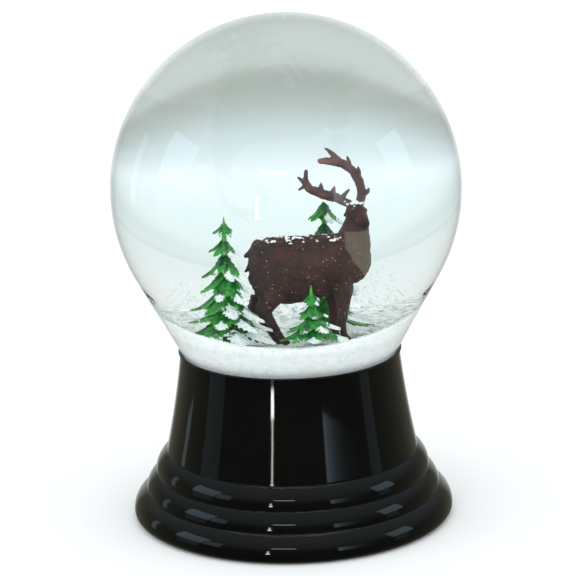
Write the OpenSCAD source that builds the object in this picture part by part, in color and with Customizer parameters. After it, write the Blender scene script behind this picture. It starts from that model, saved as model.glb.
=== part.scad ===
// Glass snow globe on a turned black base, with a deer among three firs inside.
// Millimetres, +Z up, origin at the centre of the base's underside.

/* [Globe] */

// outside radius of the round glass bulb
globe_r = 40; // [39:0.5:41]
// height of the bulb's centre above the table
globe_z = 77.4; // [77:0.1:78]
// thickness of the blown glass
glass_t = 1.6; // [1.2:0.1:1.8]
// slope of the tapered shoulder below the bulb, measured from the vertical
shoulder_angle = 28.7; // [28.4:0.1:29]
// outside radius of the straight glass neck
neck_r = 21.5; // [21.3:0.1:21.6]
// height of the neck's open end
neck_end_z = 21; // [20.5:0.5:22]

/* [Base] */

// height of the centre of the rounded rim
rim_z = 39.65; // [39.5:0.05:39.8]
// radius to the centre of the rounded rim
rim_r = 25.45; // [25.4:0.05:25.6]
// outside radius of the wall just below the rim
wall_top_r = 25.5; // [25.3:0.1:25.8]
// outside radius where the wall meets the first ridge
wall_foot_r = 29.2; // [28.8:0.1:29.6]
// radius of the long hollow curve of the wall
wall_curve_r = 220; // [180:10:300]
// outside radius at the widest part of the foot
foot_r = 37.2; // [36.8:0.1:37.6]
// depth of the recess under the base
recess_h = 2.4; // [2.2:0.1:2.8]

/* [Scene] */

// height of the top of the snow at the middle
snow_z = 47.5; // [47.4:0.1:47.6]
// radius of the plinth that carries the scene
plinth_r = 18.7; // [18.4:0.1:18.9]
// number of branches round each whorl of a fir
branches = 6; // [4:1:7]
// teeth along each side of a fir branch
branch_teeth = 4; // [3:1:6]
// thickness of a fir branch
branch_t = 0.4; // [0.3:0.05:0.6]
// number of loose flakes lying on the snow
flake_count = 70; // [20:5:90]

/* [Hidden] */

gap = 0.1;             // slack between neighbouring pieces
fine = 128;            // facets round the large turned pieces
small = 24;            // facets round the small pieces

rim_bead_r = 0.32;
wall_top_z = 37.8;
wall_foot_z = 15.9;
// each ridge: radius and height where its quarter round ends, and the radius of the round
ridges = [[31.8, 11.15, 5.6], [34.2, 6.4, 5.2], [foot_r, 1.9, 5.0]];
foot_round_r = 1.9;
recess_r = 34.5;
seat_r = 24.2;
seat_z = 37.6;
shell_inside = [[31.6, recess_h], [30.8, 8], [28.6, 12.3], [26.3, 16.8], [23.2, 34.6]];

shoulder_bite = 0.03;  // the straight shoulder cuts this far inside the sphere's tangent
bulb_join_r = (globe_r - shoulder_bite) * cos(shoulder_angle);
bulb_join_z = globe_z - (globe_r - shoulder_bite) * sin(shoulder_angle);
function shoulder_r(z) = bulb_join_r - (bulb_join_z - z) * tan(shoulder_angle);
function shoulder_z(r) = bulb_join_z - (bulb_join_r - r) / tan(shoulder_angle);

stopper_top_z = 30;
stopper_r = neck_r - glass_t - 0.3;
flange_r = 22.4;
flange_z = 18.6;
ring_section_r = 0.8;
ring_zs = [24, 27.4];
cap_r = 24.2;
cap_wall = 1.5;
cap_floor_z = 15.8;
cap_top_z = 24.4;
board_z = 1.3;

crust_t = 1.4;
crust_dome_r = 200;
drift_top_z = snow_z - 0.6;
drift_mid_z = 50.2;    // the banked snow slopes through this height above the axis
drift_tilt = 6.8;      // and rises to the back at this angle
well_r = neck_r - glass_t - 0.1;
well_top_z = 86;

// each fir: name, foot on the snow, height of its tip, radius at the foot, whorls,
// height of the lowest tips above the snow, and how much of the radius is lost by the top
firs = [
    ["fir_tall", [-11.0, -4.0], 73.6, 7.6, 7, 2.0, 0.76],
    ["fir_rear", [5.9, 10.0], 72.6, 7.3, 6, 4.4, 0.6],
    ["fir_front", [4.1, -10.2], 61.8, 6.2, 4, 2.4, 0.76]
];
stem_r = 0.55;
stem_depth = 3.2;
point_h = 2.4;         // length of the pointed top of a stem
branch_fold = 26;      // each branch is folded down this much along its rib
hub_r = stem_r + 0.35;
hub_h = 0.7;
uneven = 0.93;         // one half of each branch is shorter than the other
branch_root = 0.1;     // a branch starts this far from the stem's axis, inside the hub
rib_overlap = 0.13;    // the two halves of a branch cross by this much at the rib

// deer: each leg runs from the body to the hoof, as [x, z, radius] at the side y = leg_y
leg_y = 2.0;
hind_leg = [[-2.6, 59.6, 2.3], [-4.4, 56.9, 1.3], [-2.7, 53.0, 0.75], [-1.5, 49.8, 0.6], [-0.7, 48.5, 0.8]];
fore_leg = [[9.2, 60.2, 1.9], [9.2, 56.6, 1.05], [9.0, 52.4, 0.72], [9.3, 49.6, 0.6], [9.8, 48.5, 0.8]];
hind_far_dx = -1.1;
fore_far_dx = -1.7;
peg_r = 0.45;
peg_feet = [[-0.7, -leg_y], [9.8 + fore_far_dx, leg_y]];

// antlers: each beam and tine is a list of [x, y, z, radius]
left_beam = [[10.6, 0.4, 74.4, 0.75], [8.6, 0.9, 75.3, 0.8], [6.2, 1.4, 75.9, 0.85],
             [3.9, 1.8, 76.8, 0.7], [3.3, 2.0, 78.4, 0.5], [3.5, 2.1, 79.9, 0.3]];
left_tines = [
    [[3.7, 1.9, 77.2, 0.45], [2.1, 2.3, 78.7, 0.25]],
    [[3.3, 1.9, 77.4, 0.4], [2.3, 2.2, 76.7, 0.25]],
    [[6.0, 1.4, 76.1, 0.5], [5.8, 1.2, 77.7, 0.28]],
    [[7.9, 1.0, 75.6, 0.5], [7.9, 0.7, 77.1, 0.26]],
    [[9.4, 0.7, 75.0, 0.45], [10.2, 0.2, 76.5, 0.26]]
];
right_beam = [[12.6, -0.2, 74.5, 0.75], [13.0, -0.1, 76.4, 0.8], [12.6, 0.1, 78.4, 0.8],
              [11.5, 0.2, 80.3, 0.75], [9.8, 0.1, 81.6, 0.75], [8.0, -0.1, 82.1, 0.75], [6.0, -0.2, 82.2, 0.5]];
right_tines = [
    [[9.5, 0.1, 81.8, 0.6], [8.3, 0.2, 83.2, 0.42], [7.0, 0.3, 84.2, 0.25]],
    [[12.5, 0.1, 78.8, 0.5], [12.7, 0.3, 80.4, 0.26]],
    [[10.9, 0.2, 81.0, 0.5], [10.9, 0.4, 82.3, 0.26]],
    [[13.0, -0.1, 76.0, 0.45], [14.1, -0.1, 76.8, 0.3]]
];

black = [0.03, 0.03, 0.035];
clear_glass = [0.85, 0.92, 0.95, 0.25];
clear_water = [0.75, 0.88, 0.95, 0.15];
snow_white = [0.93, 0.95, 0.94];
fir_green = [0.05, 0.42, 0.12];
deer_brown = [0.27, 0.14, 0.11];
antler_brown = [0.33, 0.2, 0.17];
plaster_white = [0.85, 0.83, 0.78];
rubber_grey = [0.2, 0.2, 0.2];
board_brown = [0.5, 0.4, 0.3];
felt_green = [0.1, 0.25, 0.15];
plinth_white = [0.85, 0.87, 0.86];

function whorl_names(fir) = [for (i = [1:fir[4]]) str(fir[0], "_whorl_", i)];
fir_nodes = [for (fir = firs) each concat([str(fir[0], "_stem")], whorl_names(fir))];

// ---- outlines shared by the turned pieces, drawn in the r-z plane ----

// A rectangle from [r0, z0] to [r1, z1].
module band(r0, z0, r1, z1) {
    translate([r0, z0]) square([r1 - r0, z1 - z0]);
}

// The space inside the glass, or the whole bulb at inset 0, down to the height low_z.
module bulb_outline(inset, low_z) {
    r = globe_r - inset;
    join_r = (r - shoulder_bite) * cos(shoulder_angle);
    join_z = globe_z - (r - shoulder_bite) * sin(shoulder_angle);
    straight_r = neck_r - inset;
    straight_z = join_z - (join_r - straight_r) / tan(shoulder_angle);
    intersection() {
        translate([0, globe_z]) circle(r, $fn = fine);
        band(0, globe_z - globe_r - 1, globe_r + 1, globe_z + globe_r + 1);
    }
    polygon([[0, low_z], [straight_r, low_z], [straight_r, straight_z], [join_r, join_z], [0, join_z]]);
}

// The outside of the base: rim, hollow wall, three quarter-round ridges and a rounded foot.
module base_outline() {
    chord = [wall_foot_r - wall_top_r, wall_foot_z - wall_top_z];
    half = norm(chord) / 2;
    across = [-chord[1], chord[0]] / (2 * half);
    curve_centre = [wall_top_r, wall_top_z] + chord / 2 + across * sqrt(pow(wall_curve_r, 2) - pow(half, 2));
    difference() {
        polygon([[0, wall_foot_z], [wall_foot_r, wall_foot_z], [wall_foot_r, wall_top_z + 1],
                 [rim_r, rim_z], [0, rim_z]]);
        translate(curve_centre) circle(wall_curve_r, $fn = 8 * fine);
        translate([wall_top_r, wall_top_z + 0.4]) square([5, 1]);
    }
    translate([rim_r, rim_z]) circle(rim_bead_r, $fn = small);
    for (i = [0:len(ridges) - 1]) ridge_outline(ridges[i]);
    for (i = [0:len(ridges) - 2]) band(0, ridges[i + 1][1], ridges[i][0], ridges[i][1]);
    band(0, 0, foot_r - foot_round_r, foot_round_r);
    intersection() {
        translate([foot_r - foot_round_r, foot_round_r]) circle(foot_round_r, $fn = 2 * small);
        band(foot_r - foot_round_r, 0, foot_r, foot_round_r);
    }
}

// One quarter-round ridge, down to the height where its round ends.
module ridge_outline(ridge) {
    r = ridge[0];
    z = ridge[1];
    round_r = ridge[2];
    intersection() {
        translate([r - round_r, z]) circle(round_r, $fn = fine);
        band(r - round_r, z, r, wall_foot_z);
    }
    band(0, z, r - round_r, min(z + 0.9 * round_r, wall_foot_z));
}

// ---- base ----

module base_shell() {
    color(black) rotate_extrude($fn = fine) difference() {
        base_outline();
        band(-1, -1, recess_r, recess_h);
        polygon(concat([[-1, recess_h - 0.1]], [[shell_inside[0][0], recess_h - 0.1]], shell_inside,
                       [[seat_r - 0.4, 35], [seat_r, 35.2], [seat_r, seat_z],
                        [rim_r - rim_bead_r + 0.02, rim_z], [rim_r - rim_bead_r + 0.02, rim_z + 1],
                        [-1, rim_z + 1]]));
    }
}

// A ring that fills the wedge between the seat and the glass shoulder, from low_z to high_z.
module shoulder_ring(outer_low_r, low_z, outer_high_r, high_z) {
    rotate_extrude($fn = fine) polygon([
        [shoulder_r(low_z) + gap, low_z], [outer_low_r, low_z],
        [outer_high_r, high_z], [shoulder_r(high_z) + gap, high_z]
    ]);
}

module seat_gasket() {
    color(rubber_grey) shoulder_ring(seat_r - 0.05, 35.3, seat_r - 0.05, 37.3);
}

module rim_sealant() {
    color(black) shoulder_ring(seat_r - 0.05, seat_z + 0.02, seat_r + 0.3, seat_z + 0.9);
}

module plaster_fill() {
    shell_gap = 0.15;
    color(plaster_white) rotate_extrude($fn = fine) difference() {
        intersection() {
            polygon(concat([[0, recess_h + gap]], [for (p = shell_inside) [p[0] - shell_gap, p[1] + gap]],
                           [[0, shell_inside[4][1] + gap]]));
            band(0, recess_h + gap, foot_r, 34);
        }
        band(-1, cap_floor_z - gap, cap_r + gap, cap_top_z + gap);
        band(-1, cap_top_z, neck_r + gap, 40);
        translate([gap * 1.5, -gap]) bulb_outline(0, cap_top_z);
    }
}

module bottom_board() {
    color(board_brown) translate([0, 0, board_z])
        cylinder(r = recess_r - 0.2, h = recess_h - board_z - 0.05, $fn = fine);
}

module felt_pad() {
    color(felt_green) cylinder(r = recess_r - 0.4, h = board_z - 0.05, $fn = fine);
}

// ---- globe and its closure ----

module glass_globe() {
    color(clear_glass) rotate_extrude($fn = fine) {
        difference() {
            bulb_outline(0, neck_end_z);
            bulb_outline(glass_t, neck_end_z - 1);
        }
        translate([neck_r - glass_t / 2, neck_end_z + 0.6]) circle(1.2, $fn = small);
    }
}

// Everything under the sloping top of the banked snow, raised by lift.
module under_drift(lift) {
    translate([0, 0, drift_mid_z + lift]) rotate([drift_tilt, 0, 0])
        translate([-2 * globe_r, -2 * globe_r, -globe_z]) cube([4 * globe_r, 4 * globe_r, globe_z]);
}

// The liquid, with a plain well left out of it where the scene stands.
module water_fill() {
    color(clear_water) difference() {
        rotate_extrude($fn = fine) difference() {
            bulb_outline(glass_t + gap, neck_end_z);
            band(-1, 0, well_r, well_top_z);
        }
        under_drift(gap);
    }
}

module neck_stopper() {
    color(rubber_grey) rotate_extrude($fn = fine) difference() {
        union() {
            band(0, flange_z, flange_r, neck_end_z - 0.7);
            band(0, flange_z, stopper_r - 0.5, stopper_top_z);
            band(0, neck_end_z + 1.9, stopper_r, stopper_top_z);
        }
        for (z = ring_zs) band(stopper_r - 1.5, z - ring_section_r - gap, neck_r, z + ring_section_r + gap);
        band(-1, stopper_top_z - 4, 6.1, stopper_top_z + 1);
    }
}

module neck_seal_rings() {
    color(black) for (z = ring_zs) translate([0, 0, z]) rotate_extrude($fn = fine)
        translate([neck_r - glass_t - ring_section_r - 0.03, 0]) circle(ring_section_r, $fn = small);
}

module stopper_cap() {
    color(plinth_white) rotate_extrude($fn = fine) difference() {
        band(0, cap_floor_z, cap_r, cap_top_z);
        band(-1, flange_z - gap, cap_r - cap_wall, cap_top_z + 1);
    }
}

// ---- snow and plinth ----

// Sockets for the fir stems and the deer's pegs.
module sockets() {
    for (fir = firs) translate([fir[1][0], fir[1][1], snow_z - crust_t - stem_depth])
        cylinder(r = stem_r + gap, h = 10, $fn = small);
    for (p = peg_feet) translate([p[0], p[1], snow_z - crust_t - stem_depth])
        cylinder(r = peg_r + gap, h = 10, $fn = small);
}

module scene_plinth() {
    color(plinth_white) difference() {
        rotate_extrude($fn = fine) {
            band(0, stopper_top_z + 0.05, plinth_r, snow_z - crust_t - 0.05);
            band(0, stopper_top_z - 3.8, 6, stopper_top_z + 1);
        }
        sockets();
    }
}

module snow_crust() {
    color(snow_white) difference() {
        rotate_extrude($fn = fine) intersection() {
            translate([0, snow_z - crust_dome_r]) circle(crust_dome_r, $fn = 8 * fine);
            band(0, snow_z - crust_t, plinth_r + 0.3, snow_z + 1);
        }
        sockets();
    }
}

module snow_drift() {
    inner_r = plinth_r + 0.45;
    bank_h = 10;
    color(snow_white) intersection() {
        rotate_extrude($fn = fine) intersection() {
            bulb_outline(glass_t + gap, neck_end_z);
            polygon([[inner_r, 34], [globe_r, 34], [globe_r, drift_top_z + bank_h],
                     [inner_r + bank_h, drift_top_z + bank_h], [inner_r, drift_top_z - 0.3]]);
        }
        under_drift(0);
    }
}

// Flat flakes spread over the crust by the golden angle, clear of the stems and hooves.
module loose_flakes() {
    golden = 137.508;
    flake_r = 0.5;
    flake_h = 0.22;
    keep_off = concat([for (fir = firs) fir[1]],
                      [for (x = [hind_leg[4][0], fore_leg[4][0]], dx = [hind_far_dx, fore_far_dx, 0], s = [-1, 1])
                           [x + dx, s * leg_y]]);
    inner_r = 4;
    outer_r = plinth_r - 1;
    for (i = [1:flake_count]) {
        r = inner_r + (outer_r - inner_r) * sqrt(i / flake_count);
        at = [r * cos(golden * i), r * sin(golden * i)];
        away = min([for (p = keep_off) norm(at - p)]);
        if (away > 2.7) {
            level = snow_z - crust_dome_r + sqrt(pow(crust_dome_r, 2) - r * r);
            dome_rise = r * flake_r / crust_dome_r;
            color(snow_white) translate([at[0], at[1], level + dome_rise + 0.05])
                cylinder(r = flake_r, h = flake_h, $fn = small);
        }
    }
}

// ---- firs ----

// How wide half a branch is at the fraction t of its length.
function branch_half_width(t, length) = length * 0.26 * pow(sin(180 * pow(t, 0.7)), 0.8);

// Half of a branch: a straight rib on one side and pointed teeth on the other.
module half_branch(length, side) {
    edge = [for (i = [1:branch_teeth], k = [0, 1])
        let (t = (i - 0.45 + 0.42 * k) / (branch_teeth + 0.1), w = branch_half_width(min(t, 0.97), length))
        [length * (t + 0.05 * k), side * (k == 0 ? w : w * 0.62 + 0.12)]];
    polygon(concat([[branch_root, -side * rib_overlap], [branch_root, side * 0.5]], edge,
        [[length, side * rib_overlap], [length, -side * rib_overlap]]));
}

// One whorl: a hub on the stem with folded branches that droop from it.
module whorl(fir, i) {
    foot = fir[1];
    up = (i - 1) / (fir[4] - 1);
    radius = fir[3] * (1 - fir[6] * pow(up, 0.85));
    droop = 33 + 12 * up;
    length = radius / cos(droop);
    low_z = snow_z + fir[5];
    top_radius = fir[3] * (1 - fir[6]);
    high_z = fir[2] - point_h + 0.6 - top_radius * tan(45);
    tips_z = low_z + (high_z - low_z) * up;
    color(fir_green)
    translate([foot[0], foot[1], tips_z + length * sin(droop)])
    rotate([0, 0, 25 * i])
    difference() {
        union() {
            translate([0, 0, -hub_h]) cylinder(r = hub_r, h = hub_h + 0.3, $fn = small);
            for (b = [0:branches - 1], side = [-1, 1])
                rotate([0, 0, 360 / branches * b]) rotate([0, droop, 0]) rotate([-side * branch_fold, 0, 0])
                    translate([0, 0, -branch_t]) linear_extrude(branch_t)
                        half_branch(length * (side > 0 ? 1 : uneven), side);
        }
        translate([0, 0, -length]) cylinder(r = stem_r + 0.05, h = 2 * length, $fn = small);
    }
}

// The stem, from its socket to the pointed tip.
module stem(fir) {
    foot_z = snow_z - crust_t - stem_depth + 0.1;
    color(fir_green) translate([fir[1][0], fir[1][1], foot_z]) {
        cylinder(r = stem_r, h = fir[2] - point_h - foot_z, $fn = small);
        translate([0, 0, fir[2] - point_h - foot_z]) cylinder(r1 = stem_r, r2 = 0.12, h = point_h, $fn = small);
    }
}

// ---- deer ----

// A rounded bar through the points [x, y, z, radius].
module rounded_bar(points, facets = 16) {
    for (i = [0:len(points) - 2]) hull() for (p = [points[i], points[i + 1]])
        translate([p[0], p[1], p[2]]) sphere(p[3], $fn = facets);
}

// An ellipsoid with its centre at c and half-axes s.
module ellipsoid(c, s, facets = 32) {
    translate(c) scale(s) sphere(1, $fn = facets);
}

module deer_leg(leg, dx, y) {
    rounded_bar([for (i = [0:len(leg) - 1]) [leg[i][0] + dx, y * (i == 0 ? 0.7 : 1), leg[i][1], leg[i][2]]]);
}

module deer_head() {
    hull() {
        ellipsoid([11.0, 0, 67.0], [3.2, 3.0, 3.2]);
        ellipsoid([12.0, -0.4, 71.8], [1.9, 1.8, 1.8]);
    }
    hull() {
        ellipsoid([11.8, -0.2, 73.0], [1.75, 1.8, 1.7]);
        ellipsoid([12.9, -2.9, 71.6], [1.05, 1.1, 1.0]);
    }
    ellipsoid([13.15, -3.8, 71.75], [0.65, 0.5, 0.5], 16);
    hull() {
        ellipsoid([10.6, 0.2, 72.8], [0.5, 0.4, 0.5], 16);
        ellipsoid([9.3, 0.4, 72.7], [0.2, 0.2, 0.2], 14);
        ellipsoid([9.9, 0.3, 73.0], [0.4, 0.2, 0.5], 14);
    }
    hull() {
        ellipsoid([13.2, -0.2, 73.4], [0.5, 0.4, 0.5], 16);
        ellipsoid([14.3, 0.1, 73.6], [0.2, 0.2, 0.2], 14);
    }
}

module deer_body() {
    color(deer_brown) {
        hull() {
            ellipsoid([-3.0, 0, 63.7], [3.7, 3.6, 5.5]);
            ellipsoid([3.0, 0, 63.7], [4.0, 4.1, 5.4]);
            ellipsoid([10.0, 0, 65.0], [4.3, 3.7, 4.6]);
        }
        deer_head();
        rounded_bar([[-5.6, 0, 66.4, 1.3], [-6.6, 0, 64.2, 0.8], [-6.5, 0, 62.6, 0.35]]);
        for (side = [-1, 1]) {
            deer_leg(hind_leg, side > 0 ? hind_far_dx : 0, side * leg_y);
            deer_leg(fore_leg, side > 0 ? fore_far_dx : 0, side * leg_y);
        }
        for (p = peg_feet) translate([p[0], p[1], snow_z - crust_t - stem_depth + 0.2])
            cylinder(r = peg_r, h = 4.8, $fn = 16);
    }
}

module antler(beam, tines) {
    color(antler_brown) difference() {
        union() {
            rounded_bar(beam, 14);
            for (tine = tines) rounded_bar(tine, 14);
        }
        translate([11.8, -0.2, 73.0]) scale([1.8, 1.85, 1.75]) sphere(1, $fn = 32);
    }
}

// ---- assembly ----

base_shell();
seat_gasket();
rim_sealant();
plaster_fill();
bottom_board();
felt_pad();
glass_globe();
water_fill();
neck_stopper();
neck_seal_rings();
stopper_cap();
scene_plinth();
snow_crust();
snow_drift();
loose_flakes();
deer_body();
antler(left_beam, left_tines);  // deer_antler_left
antler(right_beam, right_tines);  // deer_antler_right
for (fir = firs) {
    stem(fir);
    for (i = [1:fir[4]])
        whorl(fir, i);
}
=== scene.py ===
import math
import random

import bmesh
import bpy
from mathutils import Matrix, Vector, noise

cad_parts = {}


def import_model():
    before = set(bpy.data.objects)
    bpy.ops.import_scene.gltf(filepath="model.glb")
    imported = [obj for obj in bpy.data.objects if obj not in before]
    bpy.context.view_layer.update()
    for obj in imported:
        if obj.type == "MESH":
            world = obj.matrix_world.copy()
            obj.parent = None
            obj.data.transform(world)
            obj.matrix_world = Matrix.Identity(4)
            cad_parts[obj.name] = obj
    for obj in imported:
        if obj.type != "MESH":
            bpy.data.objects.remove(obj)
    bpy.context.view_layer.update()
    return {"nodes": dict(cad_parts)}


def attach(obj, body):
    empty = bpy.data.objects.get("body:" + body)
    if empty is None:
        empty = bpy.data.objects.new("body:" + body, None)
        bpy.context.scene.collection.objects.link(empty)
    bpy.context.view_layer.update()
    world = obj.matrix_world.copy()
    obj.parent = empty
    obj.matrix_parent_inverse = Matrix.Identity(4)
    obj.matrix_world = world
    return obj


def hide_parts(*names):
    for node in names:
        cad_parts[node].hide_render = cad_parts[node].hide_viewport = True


# Snow globe on a turned black base. Lengths are in millimetres until a mesh is made, then metres.
MM = 0.001

# ---- dimensions shared with the CAD model ----
GLOBE_R = 40.0
GLOBE_Z = 77.4
GLASS_T = 1.6
SHOULDER = math.radians(28.7)
NECK_R = 21.5
NECK_END_Z = 21.0
RIM_R, RIM_Z, RIM_BEAD_R = 25.45, 39.65, 0.32
WALL_TOP_R, WALL_TOP_Z = 25.5, 37.8
WALL_FOOT_R, WALL_FOOT_Z = 29.2, 15.9
WALL_CURVE_R = 220.0
RIDGES = [(31.8, 11.15, 5.6), (34.2, 6.4, 5.2), (37.2, 1.9, 5.0)]
FOOT_ROUND_R = 1.9
RECESS_R, RECESS_H = 34.5, 2.4
SEAT_R, SEAT_Z = 24.2, 37.6
SHELL_INSIDE = [(31.6, 2.4), (30.8, 8.0), (28.6, 12.3), (26.3, 16.8), (23.2, 34.6)]
SNOW_Z = 47.5
DRIFT_R = 27.0

# each fir: name, foot on the snow, height of its tip, radius at the foot, whorls
FIRS = [
    ("fir_tall", (-11.0, -4.0), 73.6, 8.6, 7, 1.1, 0.76, 1.25),
    ("fir_rear", (5.9, 10.0), 72.6, 6.0, 6, 3.2, 0.50, 1.1),
    ("fir_front", (4.1, -10.2), 61.8, 6.6, 4, 1.1, 0.74, 1.1),
]

# the deer's limbs, from the body to the hoof, as (x, z, radius)
LEG_Y = 2.0
HIND_LEG = [(-2.6, 59.6, 2.3), (-4.4, 56.9, 1.3), (-2.7, 53.0, 0.75), (-1.5, 49.8, 0.6), (-0.7, 48.3, 0.8)]
FORE_LEG = [(9.2, 60.2, 1.9), (9.2, 56.6, 1.05), (9.0, 52.4, 0.72), (9.3, 49.6, 0.6), (9.8, 48.3, 0.8)]
HIND_FAR_DX, FORE_FAR_DX = -1.1, -1.7
LEFT_BEAM = [(10.6, 0.4, 74.4, 0.75), (8.6, 0.9, 75.3, 0.8), (6.2, 1.4, 75.9, 0.85),
             (3.9, 1.8, 76.8, 0.7), (3.3, 2.0, 78.4, 0.5), (3.5, 2.1, 79.9, 0.3)]
LEFT_TINES = [
    [(3.7, 1.9, 77.2, 0.5), (2.7, 2.2, 78.2, 0.36), (2.0, 2.3, 78.8, 0.16)],
    [(3.3, 1.9, 77.4, 0.45), (2.2, 2.2, 76.6, 0.18)],
    [(5.9, 1.4, 76.1, 0.75), (5.9, 1.3, 76.9, 0.5), (6.0, 1.2, 77.9, 0.16)],
    [(7.8, 1.0, 75.6, 0.7), (8.0, 0.8, 76.5, 0.45), (8.3, 0.7, 77.4, 0.16)],
    [(9.3, 0.7, 75.1, 0.6), (10.0, 0.4, 76.0, 0.42), (10.8, 0.1, 76.9, 0.16)],
]
RIGHT_BEAM = [(12.6, -0.2, 74.5, 0.75), (13.0, -0.1, 76.4, 0.8), (12.6, 0.1, 78.4, 0.8),
              (11.5, 0.2, 80.3, 0.75), (9.8, 0.1, 81.6, 0.75), (8.0, -0.1, 82.1, 0.75),
              (6.0, -0.2, 82.2, 0.5)]
RIGHT_TINES = [
    [(9.5, 0.1, 81.8, 0.65), (8.3, 0.2, 83.1, 0.48), (7.4, 0.3, 84.0, 0.3), (6.9, 0.3, 84.3, 0.16)],
    [(12.4, 0.1, 78.8, 0.6), (12.6, 0.2, 79.9, 0.42), (12.5, 0.3, 80.9, 0.16)],
    [(10.9, 0.2, 81.0, 0.6), (10.9, 0.3, 81.9, 0.4), (10.7, 0.4, 82.7, 0.16)],
    [(13.0, -0.1, 75.9, 0.55), (13.9, -0.1, 76.5, 0.42), (14.2, -0.1, 77.0, 0.2)],
]

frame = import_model()
rng = random.Random(42)


# ---- mesh helpers ----

def smoothstep(low, high, value):
    """0 below low, 1 above high, and a smooth rise between them."""
    t = min(max((value - low) / (high - low), 0.0), 1.0)
    return t * t * (3.0 - 2.0 * t)


def to_object(name, verts, faces, smooth_angle=None):
    """Makes an object from vertices in millimetres."""
    mesh = bpy.data.meshes.new(name)
    mesh.from_pydata([tuple(c * MM for c in v) for v in verts], [], faces)
    mesh.validate()
    obj = bpy.data.objects.new(name, mesh)
    bpy.context.scene.collection.objects.link(obj)
    if smooth_angle is not None:
        mesh.shade_smooth()
        mesh.set_sharp_from_angle(angle=math.radians(smooth_angle))
    return obj


def arc(cx, cz, radius, start, end, count):
    """Points of an arc in the r-z plane, angles in degrees from the +r axis."""
    step = (end - start) / count
    return [(cx + radius * math.cos(math.radians(start + step * i)),
             cz + radius * math.sin(math.radians(start + step * i))) for i in range(count + 1)]


def lathe(name, outline, segments=256, closed=True, smooth_angle=24.0):
    """Turns an outline of (r, z) points about the Z axis. Points on the axis become poles."""
    verts, rings = [], []
    for r, z in outline:
        if r < 1e-6:
            rings.append([len(verts)])
            verts.append((0.0, 0.0, z))
            continue
        rings.append(list(range(len(verts), len(verts) + segments)))
        verts += [(r * math.cos(math.tau * k / segments), r * math.sin(math.tau * k / segments), z)
                  for k in range(segments)]
    faces = []
    pairs = list(zip(rings, rings[1:]))
    if closed:
        pairs.append((rings[-1], rings[0]))
    for a, b in pairs:
        if len(a) == 1 and len(b) == 1:
            continue
        for k in range(segments):
            n = (k + 1) % segments
            if len(a) == 1:
                faces.append((a[0], b[n], b[k]))
            elif len(b) == 1:
                faces.append((a[k], a[n], b[0]))
            else:
                faces.append((a[k], a[n], b[n], b[k]))
    return to_object(name, verts, faces, smooth_angle)


def ball_points(centre, half_axes, count=96):
    """Points spread over an ellipsoid by the golden angle."""
    golden = math.pi * (3.0 - math.sqrt(5.0))
    points = []
    for i in range(count):
        z = 1.0 - 2.0 * (i + 0.5) / count
        ring = math.sqrt(1.0 - z * z)
        points.append((centre[0] + half_axes[0] * ring * math.cos(golden * i),
                       centre[1] + half_axes[1] * ring * math.sin(golden * i),
                       centre[2] + half_axes[2] * z))
    return points


def add_hull(bm, points):
    """Adds the convex hull of the points to a bmesh as its own closed shell."""
    part = bmesh.new()
    for p in points:
        part.verts.new(p)
    result = bmesh.ops.convex_hull(part, input=part.verts)
    spare = result["geom_interior"] + result["geom_unused"]
    inside = {g for g in spare if isinstance(g, bmesh.types.BMVert)}
    bmesh.ops.delete(part, geom=list(inside), context="VERTS")
    temp = bpy.data.meshes.new("hull")
    part.to_mesh(temp)
    part.free()
    bm.from_mesh(temp)
    bpy.data.meshes.remove(temp)


def add_bar(bm, points, count=48):
    """Adds a rounded bar through points of (x, y, z, radius)."""
    for a, b in zip(points, points[1:]):
        add_hull(bm, ball_points(a[:3], (a[3],) * 3, count) + ball_points(b[:3], (b[3],) * 3, count))


def fused(name, bm, voxel, smooth_rounds):
    """Fuses the shells of a bmesh into one skin by a voxel remesh and smooths it."""
    bmesh.ops.scale(bm, vec=(MM, MM, MM), verts=bm.verts)
    mesh = bpy.data.meshes.new(name)
    bm.to_mesh(mesh)
    bm.free()
    obj = bpy.data.objects.new(name, mesh)
    bpy.context.scene.collection.objects.link(obj)
    remesh = obj.modifiers.new("fuse", "REMESH")
    remesh.mode = "VOXEL"
    remesh.voxel_size = voxel * MM
    if smooth_rounds:
        relax = obj.modifiers.new("relax", "SMOOTH")
        relax.factor = 0.5
        relax.iterations = smooth_rounds
    evaluated = obj.evaluated_get(bpy.context.evaluated_depsgraph_get())
    result = bpy.data.meshes.new_from_object(evaluated)
    obj.modifiers.clear()
    obj.data = result
    result.name = name
    result.shade_smooth()
    return obj


def move_along_normals(obj, distance):
    """Moves each vertex along its normal by distance(x, y, z, normal), all in millimetres."""
    mesh = obj.data
    moves = []
    for v in mesh.vertices:
        x, y, z = (c / MM for c in v.co)
        moves.append(v.normal * (distance(x, y, z, v.normal) * MM))
    for v, move in zip(mesh.vertices, moves):
        v.co += move
    mesh.update()


def set_attribute(obj, name, values):
    """Stores one number for each vertex, for a material to read."""
    layer = obj.data.attributes.new(name, "FLOAT", "POINT")
    layer.data.foreach_set("value", values)


def place(obj, slot, material, *nodes):
    """Gives a piece its material, and puts it in place of the CAD nodes named. The slot is not used."""
    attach(obj, "root")
    if material is not None:
        obj.data.materials.clear()
        obj.data.materials.append(material)
    if nodes:
        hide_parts(*nodes)
    return obj


# ---- material helpers ----

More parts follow.
